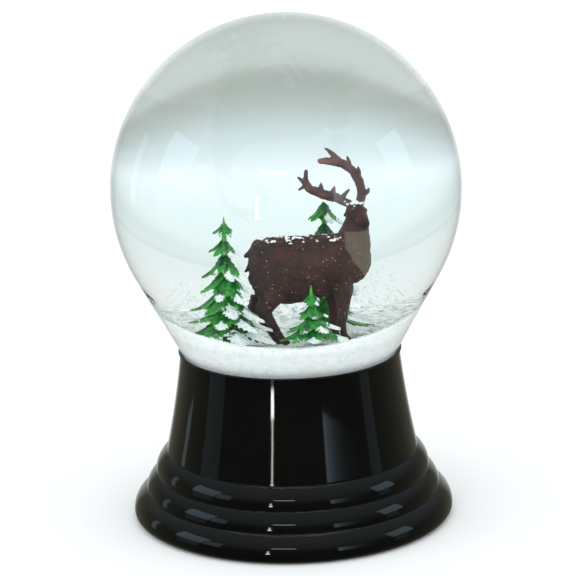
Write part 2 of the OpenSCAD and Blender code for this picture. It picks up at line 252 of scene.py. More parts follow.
class Graph:
    """A material's node tree with short calls for the nodes that this scene uses."""

    def __init__(self, name):
        self.material = bpy.data.materials.new(name)
        self.material.use_nodes = True
        self.nodes = self.material.node_tree.nodes
        self.links = self.material.node_tree.links
        self.shader = self.nodes["Principled BSDF"]
        self.coords = self.nodes.new("ShaderNodeTexCoord").outputs["Object"]

    def socket(self, node, key, value):
        if isinstance(value, bpy.types.NodeSocket):
            self.links.new(value, node.inputs[key])
        else:
            node.inputs[key].default_value = value

    def set(self, **values):
        """Sets or links inputs of the Principled shader, with underscores for spaces."""
        for key, value in values.items():
            self.socket(self.shader, key.replace("_", " "), value)
        return self

    def noise(self, scale, detail=4.0, roughness=0.55, coords=None):
        node = self.nodes.new("ShaderNodeTexNoise")
        self.socket(node, "Vector", coords or self.coords)
        node.inputs["Scale"].default_value = scale
        node.inputs["Detail"].default_value = detail
        node.inputs["Roughness"].default_value = roughness
        return node.outputs["Fac"]

    def cells(self, scale, output="Distance", coords=None):
        node = self.nodes.new("ShaderNodeTexVoronoi")
        self.socket(node, "Vector", coords or self.coords)
        node.inputs["Scale"].default_value = scale
        return node.outputs[output]

    def stretched(self, x, y, z):
        node = self.nodes.new("ShaderNodeMapping")
        self.links.new(self.coords, node.inputs["Vector"])
        node.inputs["Scale"].default_value = (x, y, z)
        return node.outputs["Vector"]

    def math(self, operation, a, b=0.0, clamp=False):
        node = self.nodes.new("ShaderNodeMath")
        node.operation = operation
        node.use_clamp = clamp
        self.socket(node, 0, a)
        self.socket(node, 1, b)
        return node.outputs[0]

    def remap(self, value, low, high, out_low=0.0, out_high=1.0, smooth=True):
        node = self.nodes.new("ShaderNodeMapRange")
        node.interpolation_type = "SMOOTHSTEP" if smooth else "LINEAR"
        self.socket(node, "Value", value)
        node.inputs["From Min"].default_value = low
        node.inputs["From Max"].default_value = high
        node.inputs["To Min"].default_value = out_low
        node.inputs["To Max"].default_value = out_high
        return node.outputs["Result"]

    def mix(self, factor, a, b):
        node = self.nodes.new("ShaderNodeMix")
        node.data_type = "RGBA"
        self.socket(node, "Factor", factor)
        for key, colour in (("A", a), ("B", b)):
            socket = next(s for s in node.inputs if s.name == key and s.type == "RGBA")
            if isinstance(colour, bpy.types.NodeSocket):
                self.links.new(colour, socket)
            else:
                socket.default_value = (*colour, 1.0)
        return next(s for s in node.outputs if s.type == "RGBA")

    def axis(self, name):
        node = self.nodes.new("ShaderNodeSeparateXYZ")
        self.links.new(self.coords, node.inputs[0])
        return node.outputs[name]

    def attribute(self, name):
        node = self.nodes.new("ShaderNodeAttribute")
        node.attribute_name = name
        return node.outputs["Fac"]

    def bump(self, height, distance, strength=1.0):
        """Adds a bump of that height in metres to the shader."""
        node = self.nodes.new("ShaderNodeBump")
        node.inputs["Strength"].default_value = strength
        node.inputs["Distance"].default_value = distance
        self.links.new(height, node.inputs["Height"])
        self.links.new(node.outputs["Normal"], self.shader.inputs["Normal"])
        return self


# ---- materials ----

def black_gloss():
    """Deep black lacquer: a mirror-like coat with faint dust, scuffs and a soft orange peel."""
    g = Graph("black_gloss")
    cloud = g.noise(60.0)
    dust = g.remap(g.cells(1500.0), 0.0, 0.09, 1.0, 0.0)
    dust = g.math("MULTIPLY", dust, g.remap(g.noise(240.0), 0.58, 0.72))
    scuff = g.remap(g.noise(900.0, coords=g.stretched(1.0, 1.0, 0.08)), 0.62, 0.8)
    colour = g.mix(cloud, (0.0022, 0.0022, 0.0020), (0.0048, 0.0046, 0.0040))
    g.set(Base_Color=g.mix(g.math("MULTIPLY", dust, 0.25), colour, (0.12, 0.13, 0.12)),
          Roughness=g.math("ADD", g.math("ADD", g.math("MULTIPLY", cloud, 0.03), 0.035),
                           g.math("ADD", g.math("MULTIPLY", scuff, 0.02), g.math("MULTIPLY", dust, 0.3))),
          IOR=1.5, Specular_IOR_Level=0.3)
    return g.bump(g.noise(160.0, 2.0), 0.000006).material


def glass(name, ior, tint):
    """Clear blown glass with a very faint drift in its gloss."""
    g = Graph(name)
    g.set(Base_Color=(*tint, 1.0), Transmission_Weight=1.0, IOR=ior,
          Roughness=g.remap(g.noise(30.0), 0.3, 0.8, 0.0, 0.004))
    return g.material


def snow(name, grain):
    """White granular snow: pale shadowed hollows, painted shade that darkens it a little below 45.8 mm,
    sparkling grains and a rough surface.
    """
    g = Graph(name)
    clumps = g.noise(grain * 0.35)
    grains = g.cells(grain)
    shade = g.math("MULTIPLY", g.remap(grains, 0.15, 0.75), g.remap(clumps, 0.35, 0.7))
    # painted shade: the snow darkens by a tenth from 47.2 mm down to 45.8 mm and stays so below
    shade_below = g.remap(g.axis("Z"), 0.0458, 0.0472, 0.9, 1.0)
    white = g.mix(shade, (0.97, 0.99, 0.985), (0.79, 0.87, 0.85))
    g.set(Base_Color=g.mix(shade_below, (0.0, 0.0, 0.0), white),
          Roughness=g.remap(grains, 0.0, 0.6, 0.35, 0.75), Specular_IOR_Level=0.4,
          Subsurface_Weight=0.15, Subsurface_Scale=0.001, Subsurface_Radius=(1.0, 1.0, 1.0))
    height = g.math("MULTIPLY", g.remap(grains, 0.0, 0.7, 1.0, 0.0), 0.7)
    height = g.math("ADD", height, g.noise(grain * 2.2))
    return g.bump(height, 0.00011, 0.6).material


def flake():
    """Thin plastic flakes, each a little lighter or darker than the next."""
    g = Graph("snow_flakes")
    tone = g.cells(900.0, "Color")
    grey = g.remap(tone, 0.0, 1.0, 0.0, 1.0)
    g.set(Base_Color=g.mix(grey, (0.72, 0.80, 0.78), (0.97, 0.98, 0.97)),
          Roughness=g.remap(g.noise(2500.0), 0.3, 0.7, 0.25, 0.55), Specular_IOR_Level=0.5)
    return g.bump(g.noise(5000.0), 0.00004).material


def fir_plastic():
    """Moulded green plastic with white flocked snow where the snow attribute is high, painted shade in the
    middle of each frond and a painted highlight towards its edges.
    """
    g = Graph("fir_plastic")
    grit = g.noise(2600.0)
    patch = g.noise(700.0)
    amount = g.math("ADD", g.attribute("snow"), g.math("MULTIPLY", g.math("SUBTRACT", patch, 0.5), 1.5))
    amount = g.math("ADD", amount, g.math("MULTIPLY", g.math("SUBTRACT", grit, 0.5), 0.9))
    white = g.remap(amount, 0.46, 0.60)
    # painted shade: the frond's middle is a deep dark green, and the edge highlight, a painted highlight,
    # lightens it to yellow-green
    deep_shade = g.mix(g.remap(g.noise(420.0), 0.35, 0.65), (0.002, 0.055, 0.016), (0.010, 0.24, 0.025))
    green = g.mix(g.remap(g.attribute("edge"), 0.3, 1.0), deep_shade, (0.055, 0.40, 0.035))
    frost = g.mix(g.cells(2200.0), (0.90, 0.94, 0.93), (0.60, 0.72, 0.70))
    g.set(Base_Color=g.mix(white, green, frost), Roughness=g.remap(white, 0.0, 1.0, 0.34, 0.8),
          Specular_IOR_Level=0.5)
    height = g.math("MULTIPLY", grit, g.remap(white, 0.0, 1.0, 0.25, 1.0))
    height = g.math("ADD", height, g.math("MULTIPLY", white, 0.6))
    return g.bump(height, 0.00012, 0.8).material


def deer_paint():
    """Dark brown painted coat with a taupe ruff, a greyer rump that is a painted sheen, a dark nose and snow
    specks.
    """
    g = Graph("deer_paint")
    x, y, z = g.axis("X"), g.axis("Y"), g.axis("Z")
    mottle = g.noise(330.0, 6.0, 0.6)
    hair = g.noise(900.0, 5.0, 0.65, g.stretched(0.55, 1.0, 1.0))
    coat = g.mix(g.remap(mottle, 0.3, 0.72), (0.022, 0.0085, 0.006), (0.062, 0.022, 0.016))
    coat = g.mix(g.math("MULTIPLY", g.remap(hair, 0.5, 0.75), 0.35), coat, (0.10, 0.05, 0.042))
    # painted sheen: the rear of the body is turned half-way to a grey brown
    rump_sheen = g.remap(g.math("ADD", x, g.math("MULTIPLY", mottle, 0.006)), -0.0045, 0.0035, 1.0, 0.0)
    coat = g.mix(g.math("MULTIPLY", rump_sheen, 0.5), coat, (0.042, 0.034, 0.034))
    below = g.math("MAXIMUM", g.math("SUBTRACT", 0.0675, z), 0.0)
    side_x = g.math("ADD", 0.0098, g.math("MULTIPLY", below, 0.62))
    ragged = g.math("MULTIPLY", g.math("SUBTRACT", mottle, 0.5), 0.0012)
    inside = g.math("ADD", g.math("SUBTRACT", x, side_x), ragged)
    ruff = g.math("MULTIPLY", g.remap(inside, -0.0001, 0.0003), g.remap(z, 0.0698, 0.0702, 1.0, 0.0))
    ruff = g.math("MULTIPLY", ruff, g.remap(y, 0.0004, 0.0012, 1.0, 0.0))
    taupe = g.mix(hair, (0.075, 0.06, 0.042), (0.15, 0.12, 0.09))
    coat = g.mix(ruff, coat, taupe)
    nose = g.math("MULTIPLY", g.remap(y, -0.0037, -0.0034, 1.0, 0.0), g.remap(z, 0.0702, 0.0706))
    coat = g.mix(nose, coat, (0.006, 0.005, 0.005))
    upward = g.nodes.new("ShaderNodeNewGeometry").outputs["Normal"]
    split = g.nodes.new("ShaderNodeSeparateXYZ")
    g.links.new(upward, split.inputs[0])
    specks = g.remap(g.cells(1250.0), 0.10, 0.2, 1.0, 0.0)
    specks = g.math("MULTIPLY", specks, g.remap(g.noise(380.0), 0.47, 0.6))
    low = g.remap(z, 0.0585, 0.0625, 1.0, 0.45)
    specks = g.math("MULTIPLY", specks, low)
    g.set(Base_Color=g.mix(g.math("MULTIPLY", specks, 0.75), coat, (0.75, 0.76, 0.75)),
          Roughness=g.remap(hair, 0.3, 0.7, 0.5, 0.72), Specular_IOR_Level=0.35)
    height = g.math("ADD", g.math("MULTIPLY", hair, 1.0), g.math("MULTIPLY", specks, 0.8))
    return g.bump(height, 0.00018, 0.8).material


def antler_paint():
    """Brown painted antlers that turn to a dusty pink at the tips."""
    g = Graph("antler_paint")
    x, z = g.axis("X"), g.axis("Z")
    mottle = g.noise(700.0)
    brown = g.mix(g.remap(mottle, 0.3, 0.7), (0.045, 0.017, 0.014), (0.12, 0.06, 0.055))
    tip = g.math("MULTIPLY", g.remap(x, 0.0062, 0.0085, 1.0, 0.0), g.remap(z, 0.0805, 0.0815))
    tip = g.math("MULTIPLY", tip, g.remap(z, 0.0828, 0.0832, 1.0, 0.0))
    g.set(Base_Color=g.mix(g.math("MULTIPLY", tip, 0.8), brown, (0.22, 0.085, 0.085)),
          Roughness=g.remap(mottle, 0.3, 0.7, 0.42, 0.65))
    return g.bump(g.noise(1500.0, coords=g.stretched(1.0, 1.0, 0.5)), 0.00012, 0.7).material


def rubber(name, colour):
    """Matt black rubber."""
    g = Graph(name)
    fine = g.noise(1400.0)
    g.set(Base_Color=g.mix(fine, colour, tuple(c * 1.8 + 0.004 for c in colour)),
          Roughness=g.remap(fine, 0.3, 0.7, 0.5, 0.75), Specular_IOR_Level=0.3)
    return g.bump(fine, 0.00004).material


def plaster():
    """Off-white cast plaster."""
    g = Graph("plaster")
    pores = g.remap(g.cells(500.0), 0.0, 0.12, 1.0, 0.0)
    cloud = g.noise(90.0)
    g.set(Base_Color=g.mix(cloud, (0.72, 0.69, 0.62), (0.85, 0.83, 0.78)),
          Roughness=g.remap(cloud, 0.3, 0.7, 0.8, 0.95))
    return g.bump(g.math("SUBTRACT", g.noise(800.0), pores), 0.0002).material


def board():
    """Brown fibre board."""
    g = Graph("board")
    fibre = g.noise(700.0, coords=g.stretched(1.0, 0.15, 1.0))
    g.set(Base_Color=g.mix(fibre, (0.16, 0.10, 0.05), (0.34, 0.24, 0.14)),
          Roughness=g.remap(fibre, 0.3, 0.7, 0.7, 0.9))
    return g.bump(fibre, 0.0001).material


def felt():
    """Dark green felt: short tangled fibres with pilling and a soft sheen."""
    g = Graph("felt")
    fibres = g.noise(2200.0, 8.0, 0.75)
    pills = g.cells(420.0)
    g.set(Base_Color=g.mix(g.remap(fibres, 0.35, 0.65), (0.008, 0.035, 0.018), (0.03, 0.10, 0.055)),
          Roughness=g.remap(pills, 0.0, 0.6, 0.85, 1.0), Sheen_Weight=0.6, Sheen_Roughness=0.5)
    return g.bump(g.math("ADD", fibres, g.math("MULTIPLY", pills, 0.4)), 0.0003).material


def white_plastic(name, colour):
    """Moulded plastic with a soft gloss."""
    g = Graph(name)
    cloud = g.noise(220.0)
    g.set(Base_Color=g.mix(cloud, colour, tuple(c * 0.9 for c in colour)),
          Roughness=g.remap(cloud, 0.3, 0.7, 0.3, 0.45))
    return g.bump(g.noise(1300.0), 0.00003).material


def dress_cad_nodes():
    """Gives every CAD node that stays visible its own procedural material."""
    finishes = {
        "seat_gasket": rubber("gasket_rubber", (0.03, 0.03, 0.03)),
        "rim_sealant": rubber("sealant", (0.006, 0.006, 0.006)),
        "plaster_fill": plaster(),
        "bottom_board": board(),
        "felt_pad": felt(),
        "neck_stopper": rubber("stopper_rubber", (0.10, 0.095, 0.09)),
        "neck_seal_rings": rubber("seal_rubber", (0.01, 0.01, 0.01)),
        "stopper_cap": white_plastic("cap_plastic", (0.75, 0.76, 0.74)),
        "scene_plinth": white_plastic("plinth_plastic", (0.80, 0.82, 0.81)),
    }
    for node, material in finishes.items():
        obj = frame["nodes"][node]
        obj.data.materials.clear()
        obj.data.materials.append(material)


# ---- base ----

def base_shell():
    """The turned base: rolled rim, hollow wall, three quarter-round ridges and a rounded foot."""
    chord = (WALL_FOOT_R - WALL_TOP_R, WALL_FOOT_Z - WALL_TOP_Z)
    half = math.hypot(*chord) / 2
    across = (-chord[1] / (2 * half), chord[0] / (2 * half))
    rise = math.sqrt(WALL_CURVE_R ** 2 - half ** 2)
    cx = WALL_TOP_R + chord[0] / 2 + across[0] * rise
    cz = WALL_TOP_Z + chord[1] / 2 + across[1] * rise
    wall_low_z, wall_high_z = WALL_FOOT_Z, 39.4
    wall = [(cx - math.sqrt(WALL_CURVE_R ** 2 - (z - cz) ** 2), z)
            for z in (wall_low_z + (wall_high_z - wall_low_z) * i / 40 for i in range(41))]
    outline = [(RECESS_R, 0.0)]
    outline += arc(RIDGES[2][0] - FOOT_ROUND_R, FOOT_ROUND_R, FOOT_ROUND_R, -90.0, 0.0, 14)
    above = [WALL_FOOT_R] + [r for r, _, _ in RIDGES]
    for i in (2, 1, 0):
        r, z, rr = RIDGES[i]
        end = math.degrees(math.acos((above[i] - (r - rr)) / rr))
        outline += arc(r - rr, z, rr, 1.5, end, 24)
    outline += wall
    outline += arc(RIM_R, RIM_Z, RIM_BEAD_R, -35.0, 180.0, 16)
    outline += [(SEAT_R, SEAT_Z), (SEAT_R, 35.2), (SEAT_R - 0.4, 35.0)]
    outline += SHELL_INSIDE[::-1]
    outline += [(RECESS_R, RECESS_H)]
    return place(lathe("base_turned", outline, 320), "black_gloss", black_gloss(), "base_shell")


# ---- globe ----

def bulb_curve(inset, steps):
    """The glass outline from the top pole down to the end of the tapered shoulder."""
    r = GLOBE_R - inset
    points = arc(0.0, GLOBE_Z, r, 90.0, -math.degrees(SHOULDER), steps)
    points[0] = (0.0, GLOBE_Z + r)
    join_r, join_z = points[-1]
    neck_r = NECK_R - inset
    neck_z = join_z - (join_r - neck_r) / math.tan(SHOULDER)
    taper = [(join_r + (neck_r - join_r) * i / 12, join_z + (neck_z - join_z) * i / 12)
             for i in range(1, 12)]
    return points + taper + arc(neck_r + 2.0, neck_z - 1.0, 2.0, 151.3, 180.0, 5)


def glass_globe():
    """The blown bulb: an outer wall against air and an inner wall wetted by the liquid."""
    outer = bulb_curve(0.0, 150)
    inner = bulb_curve(GLASS_T, 150)
    lip = arc(NECK_R - GLASS_T / 2, NECK_END_Z + 0.6, 1.2, 45.0, -225.0, 18)
    outline = outer + lip + inner[::-1]
    obj = lathe("glass_bulb", outline, 320, closed=False, smooth_angle=40.0)
    place(obj, "clear_glass", glass("globe_glass", 1.5, (0.985, 0.995, 0.992)), "glass_globe")
    obj.data.materials.append(glass("globe_glass_wetted", 1.128, (1.0, 1.0, 1.0)))
    bm = bmesh.new()
    bm.from_mesh(obj.data)
    bmesh.ops.remove_doubles(bm, verts=bm.verts, dist=1e-7)
    bmesh.ops.recalc_face_normals(bm, faces=bm.faces)
    centre = Vector((0.0, 0.0, GLOBE_Z * MM))
    limit = (GLOBE_R - GLASS_T / 2) * MM
    for face in bm.faces:
        at = face.calc_center_median()
        if at.z > 0.06:
            wetted = (at - centre).length < limit
        else:
            wetted = face.normal.x * at.x + face.normal.y * at.y < 0
        face.material_index = 1 if wetted and at.z > 0.03 else 0
    bm.to_mesh(obj.data)
    bm.free()
    obj.visible_shadow = False
    obj.visible_diffuse = False
    return obj


def water_body():
    """The liquid, which bends no light itself because the wetted glass wall already does."""
    inset = GLASS_T + 0.12
    top = [p for p in bulb_curve(inset, 60) if p[1] > SNOW_Z - 1.5]
    outline = top + [(top[-1][0] - 0.3, SNOW_Z - 1.5), (0.0, SNOW_Z - 1.5)]
    obj = lathe("water_body", outline, 128, closed=False, smooth_angle=40.0)
    g = Graph("clear_water")
    g.set(Base_Color=(0.985, 0.996, 0.992, 1.0), Transmission_Weight=1.0, IOR=1.0,
          Roughness=g.remap(g.noise(20.0), 0.3, 0.8, 0.0, 0.001))
    place(obj, "water", g.material, "water_fill")
    obj.visible_shadow = False
    obj.visible_diffuse = False
    return obj


# ---- snow ----

def glass_inside_r(z):
    """Inner radius of the glass at a height on the tapered shoulder."""
    join_r = (GLOBE_R - GLASS_T) * math.cos(SHOULDER)
    join_z = GLOBE_Z - (GLOBE_R - GLASS_T) * math.sin(SHOULDER)
    return join_r - (join_z - z) * math.tan(SHOULDER)


def snow_height(x, y):
    """Height of the settled snow: low in front, banked up against the glass at the sides and the back."""
    r = math.hypot(x, y)
    behind = 0.5 + 0.5 * y / max(r, 1e-6)
    bank = smoothstep(0.45, 1.02, r / DRIFT_R) * (0.6 + 8.2 * behind ** 0.75)
    lumps = noise.fractal(Vector((x * 0.16, y * 0.16, 3.7)), 1.0, 2.0, 4)
    fine = noise.noise(Vector((x * 0.9, y * 0.9, 9.1)))
    mounds = sum(0.9 * math.exp(-((x - foot[0]) ** 2 + (y - foot[1]) ** 2) / 9.0) for _, foot, *_ in FIRS)
    return SNOW_Z - 0.35 + bank + mounds + 0.34 * lumps * (0.5 + 0.04 * bank) + 0.1 * fine


def settled_snow():
    """The snow bed, with a lumpy top, its side lying against the inside of the glass."""
    rings, segments = 110, 256
    low_z = 36.5
    verts, faces = [(0.0, 0.0, snow_height(0.0, 0.0))], []
    for i in range(1, rings + 1):
        for k in range(segments):
            a = math.tau * k / segments
            share = i / rings
            edge_z = snow_height(DRIFT_R * math.cos(a), DRIFT_R * math.sin(a))
            r = share * (glass_inside_r(edge_z) - 0.25)
            x, y = r * math.cos(a), r * math.sin(a)
            z = snow_height(x, y)
            if i == rings:
                z -= 0.15
            verts.append((x, y, z))
    side_steps = 12
    for i in range(1, side_steps + 1):
        for k in range(segments):
            a = math.tau * k / segments
            top = verts[1 + (rings - 1) * segments + k][2]
            z = top + (low_z - top) * i / side_steps
            r = glass_inside_r(z) - 0.14
            verts.append((r * math.cos(a), r * math.sin(a), z))
    total = rings + side_steps
    for k in range(segments):
        faces.append((0, 1 + k, 1 + (k + 1) % segments))
    for i in range(total - 1):
        for k in range(segments):
            a = 1 + i * segments + k
            b = 1 + i * segments + (k + 1) % segments
            faces.append((a, a + segments, b + segments, b))
    verts.append((0.0, 0.0, low_z))
    last = len(verts) - 1
    for k in range(segments):
        lowest = 1 + (total - 1) * segments
        faces.append((last, lowest + (k + 1) % segments, lowest + k))
    obj = to_object("settled_snow", verts, faces, 60.0)
    return place(obj, "snow", snow("settled_snow", 1500.0), "snow_crust", "snow_drift")


def add_flake(verts, faces, at, size, thick, tilt):
    """Adds one thin irregular six-sided flake."""
    turn = Matrix.Rotation(rng.uniform(0, math.tau), 3, "Z")
    lean = Matrix.Rotation(rng.uniform(-tilt, tilt), 3, "X")
    lean = lean @ Matrix.Rotation(rng.uniform(-tilt, tilt), 3, "Y")
    base = len(verts)
    radii = [size * rng.uniform(0.7, 1.15) for _ in range(6)]
    for level in (-0.5, 0.5):
        for k, r in enumerate(radii):
            a = math.tau * k / 6
            p = lean @ turn @ Vector((r * math.cos(a), 0.8 * r * math.sin(a), level * thick))
            verts.append((at[0] + p.x, at[1] + p.y, at[2] + p.z))
    faces.append(tuple(base + k for k in range(5, -1, -1)))
    faces.append(tuple(base + 6 + k for k in range(6)))
    for k in range(6):
        n = (k + 1) % 6
        faces.append((base + k, base + n, base + 6 + n, base + 6 + k))


def flakes():
    """Loose flakes over the snow, banked up on the sloping glass at the sides and the back."""
    verts, faces = [], []
    for _ in range(6500):
        a = rng.uniform(0, math.tau)
        r = (DRIFT_R + 0.5) * math.sqrt(rng.uniform(0, 1))
        x, y = r * math.cos(a), r * math.sin(a)
        z = snow_height(x, y) + rng.uniform(0.0, 0.22)
        if r < glass_inside_r(z) - 0.6:
            add_flake(verts, faces, (x, y, z), rng.uniform(0.16, 0.42), 0.09, 0.6)
    for _ in range(9000):
        a = rng.uniform(-0.35, math.pi + 0.35)
        wall_r = DRIFT_R + 2.0
        z = snow_height(wall_r * math.cos(a), wall_r * math.sin(a)) - 0.5 + rng.expovariate(0.42)
        if z > 59:
            continue
        r = glass_inside_r(z) - rng.uniform(0.3, 1.1)
        add_flake(verts, faces, (r * math.cos(a), r * math.sin(a), z), rng.uniform(0.07, 0.19), 0.06, 1.2)
    obj = to_object("drifting_flakes", verts, faces)
    return place(obj, "flakes", flake(), "loose_flakes")


# ---- firs ----

def add_frond(data, origin, heading, length, droop, frost, seed):
    """Adds one folded, toothed frond that droops from the stem. data is (verts, faces, snow, edge highlight);
    the edge highlight is a painted highlight that grows towards the frond's edges and tip.
    """
    verts, faces, snow_values, edge_values = data
    teeth = 8
    steps = teeth * 2
    half_w = 0.27 * length + 0.12
    ca, sa = math.cos(heading), math.sin(heading)
    base = len(verts)
    local = random.Random(seed)
    twist = local.uniform(-0.12, 0.12)
    for i in range(steps + 1):
        t = i / steps
        along = length * (0.05 + 0.95 * t)
        drop = math.tan(droop) * along * (1.2 - 0.35 * t)
        body = math.sin(math.pi * min(1.0, 0.16 + 0.84 * t ** 0.75)) ** 0.75 if t < 1 else 0.0
        outward = i % 2
        reach = half_w * body * (1.0 if outward else 0.60) + 0.05
        lean = 0.06 * length * (1.0 if outward else 0.0)
        frost_start = 0.55 - 0.25 * min(frost, 1.4)
        crown = min(1.3, frost * smoothstep(frost_start, 0.95, t + local.uniform(-0.1, 0.1)))
        puff = 0.30 * crown
        for column, share in enumerate((-1.0, -0.5, 0.0, 0.5, 1.0)):
            side = share * reach
            fold = abs(side) * 0.62 + 0.25 * side * twist
            rise = -drop - fold + (0.12 if column == 2 else 0.0) + puff * (1.0 - abs(share))
            x = along + lean * abs(share)
            thick = 0.16 + 0.10 * (1.0 - abs(share)) + puff * 0.6 * (1.0 - abs(share))
            for level in (0.0, -thick):
                verts.append((origin[0] + ca * x - sa * side, origin[1] + sa * x + ca * side,
                              origin[2] + rise + level))
                snow_values.append(crown * (1.0 if level == 0.0 else 0.75))
                # painted highlight: lighter towards the outer columns and the tip
                edge_values.append(min(1.0, abs(share) * (0.5 + 0.5 * t)))
    def vert(i, column, level):
        return base + (i * 5 + column) * 2 + level
    for i in range(steps):
        for c in range(4):
            faces.append((vert(i, c, 0), vert(i + 1, c, 0), vert(i + 1, c + 1, 0), vert(i, c + 1, 0)))
            faces.append((vert(i, c, 1), vert(i, c + 1, 1), vert(i + 1, c + 1, 1), vert(i + 1, c, 1)))
        faces.append((vert(i, 0, 0), vert(i, 0, 1), vert(i + 1, 0, 1), vert(i + 1, 0, 0)))
        faces.append((vert(i, 4, 0), vert(i + 1, 4, 0), vert(i + 1, 4, 1), vert(i, 4, 1)))
    for c in range(4):
        faces.append((vert(0, c, 0), vert(0, c + 1, 0), vert(0, c + 1, 1), vert(0, c, 1)))
        faces.append((vert(steps, c, 0), vert(steps, c, 1), vert(steps, c + 1, 1), vert(steps, c + 1, 0)))


def fir(entry, material):
    """A moulded fir: stacked whorls of fronds on a tapered stem, one piece for each CAD node."""
    name, foot, tip_z, foot_r, whorls, low_h, taper, frost = entry
    low_z = SNOW_Z + low_h
    for i in range(1, whorls + 1):
        up = (i - 1) / (whorls - 1)
        radius = foot_r * (1 - taper * up ** 0.85)
        droop = math.radians(46 + 6 * up)
        tips_z = low_z + (tip_z - 3.4 - low_z) * up
        data = ([], [], [], [])
        crown_z = tips_z + radius * math.tan(droop) * 0.88
        fronds = 7 if i < whorls - 1 else 5
        for b in range(fronds):
            heading = math.radians(25 * i + 360 / fronds * b) + rng.uniform(-0.13, 0.13)
            spread = 1 + 0.2 * (1 - up) * max(0.0, math.cos(heading + 0.5))
            length = radius * rng.uniform(0.88, 1.08) * spread
            sunny_side = (0.75 + 0.6 * math.cos(heading + 0.4)) * (1.15 - 0.3 * up)
            add_frond(data, (foot[0], foot[1], crown_z + rng.uniform(-0.25, 0.25)), heading, length,
                      droop + rng.uniform(-0.06, 0.06), frost * rng.uniform(0.5, 1.2) * sunny_side,
                      rng.randrange(10 ** 6))
            add_frond(data, (foot[0], foot[1], crown_z - 0.5), heading + math.pi / fronds, 0.55 * length,
                      droop + 0.12, 0.4 * frost, rng.randrange(10 ** 6))
        whorl = to_object(f"{name}_fronds_{i}", data[0], data[1], 50.0)
        set_attribute(whorl, "snow", data[2])
        set_attribute(whorl, "edge", data[3])
        place(whorl, "fir_plastic", material, f"{name}_whorl_{i}")
    stem_outline = [(0.0, SNOW_Z - 3.5), (0.5, SNOW_Z - 3.5), (0.62, SNOW_Z + 1.0), (0.5, tip_z - 6.0),
                    (0.36, tip_z - 2.6), (0.22, tip_z - 1.0), (0.05, tip_z)]
    stem = lathe(f"{name}_leader", stem_outline + [(0.0, tip_z + 0.03)], 20, closed=False)
    for v in stem.data.vertices:
        z = v.co.z / MM
        wave = 1.0 + 0.14 * math.sin(5 * math.atan2(v.co.y, v.co.x)) if v.co.xy.length > 1e-6 else 1.0
        v.co.x = v.co.x * wave + foot[0] * MM + 0.06 * MM * math.sin(z)
        v.co.y = v.co.y * wave + foot[1] * MM
    set_attribute(stem, "snow", [0.15] * len(stem.data.vertices))
    # painted highlight: the stem's green gets lighter towards its tip
    set_attribute(stem, "edge", [smoothstep(SNOW_Z, tip_z, v.co.z / MM) for v in stem.data.vertices])
    place(stem, "fir_plastic", material, f"{name}_stem")


# ---- deer ----

def deer_shells():
    """The body, neck, head, ears and legs as overlapping hulls."""
    bm = bmesh.new()
    torso = [((-3.0, 0, 63.3), (3.5, 3.5, 5.7)), ((3.0, 0, 63.4), (4.0, 4.0, 5.7)),
             ((10.0, 0, 65.0), (4.1, 3.6, 4.4))]
    add_hull(bm, [p for c, s in torso for p in ball_points(c, s, 260)])
    add_hull(bm, ball_points((11.0, 0, 67.0), (3.1, 2.9, 3.2), 200)
             + ball_points((12.0, -0.4, 71.8), (1.9, 1.8, 1.8), 120))
    add_hull(bm, ball_points((11.8, -0.2, 73.0), (1.75, 1.8, 1.7), 160)
             + ball_points((13.45, -2.9, 71.6), (1.0, 1.05, 0.95), 120))
    add_hull(bm, ball_points((13.85, -3.75, 71.75), (0.62, 0.5, 0.46), 60))
    add_hull(bm, ball_points((10.7, 0.2, 72.8), (0.5, 0.4, 0.5), 40)
             + ball_points((9.75, 0.5, 72.3), (0.2, 0.16, 0.2), 20)
             + ball_points((10.1, 0.4, 72.6), (0.35, 0.2, 0.4), 30))
    add_hull(bm, ball_points((13.2, -0.2, 73.4), (0.5, 0.4, 0.5), 40)
             + ball_points((13.75, 0.2, 73.2), (0.18, 0.18, 0.18), 20))
    for side in (-1, 1):
        for leg, far_dx in ((HIND_LEG, HIND_FAR_DX), (FORE_LEG, FORE_FAR_DX)):
            dx = far_dx if side > 0 else 0.0
            add_bar(bm, [(p[0] + dx, side * LEG_Y * (0.7 if i == 0 else 1.0), p[1], p[2])
                         for i, p in enumerate(leg)])
    return bm


def add_tufts(bm):
    """Ragged locks of hair down the rump, with a short tail."""
    rows = [(-5.4, 67.2, -7.0, 65.6), (-5.8, 65.2, -7.2, 63.4), (-5.8, 63.2, -6.7, 61.4),
            (-5.2, 61.2, -5.8, 59.4), (-4.4, 59.8, -4.9, 57.6)]
    for x0, z0, x1, z1 in rows:
        for y in (-2.2, -0.8, 0.8, 2.2):
            shrink = 1.0 - 0.06 * y * y
            tip = (x0 + (x1 - x0) * shrink + rng.uniform(-0.25, 0.25), y + rng.uniform(-0.3, 0.3),
                   z1 + rng.uniform(-0.3, 0.3))
            add_hull(bm, ball_points((x0 + 0.4, y * 0.9, z0), (1.1, 0.9, 1.3), 30)
                     + ball_points(tip, (0.1, 0.25, 0.1), 12))


def coat_relief(x, y, z, normal):
    """Locks of hair that run back and down over the body."""
    body = smoothstep(51.0, 57.0, z)
    lock = noise.fractal(Vector((x * 0.55 + z * 0.25, y * 0.8, z * 0.5 - x * 0.1)), 1.0, 2.1, 3)
    fine = noise.noise(Vector((x * 1.7, y * 2.4, z * 2.0)))
    face = smoothstep(69.5, 71.0, z)
    return (0.22 * lock * body + 0.07 * fine) * (1.0 - 0.65 * face)


def eyes(material):
    """Small glossy dark eyes, each a flattened bead set in the face."""
    bm = bmesh.new()
    for x, y, z in ((11.45, -1.95, 73.2), (13.35, -1.35, 73.25)):
        add_hull(bm, ball_points((x, y, z), (0.32, 0.26, 0.3), 90))
    obj = fused("deer_eyes", bm, 0.06, 2)
    return place(obj, "deer_paint", material)


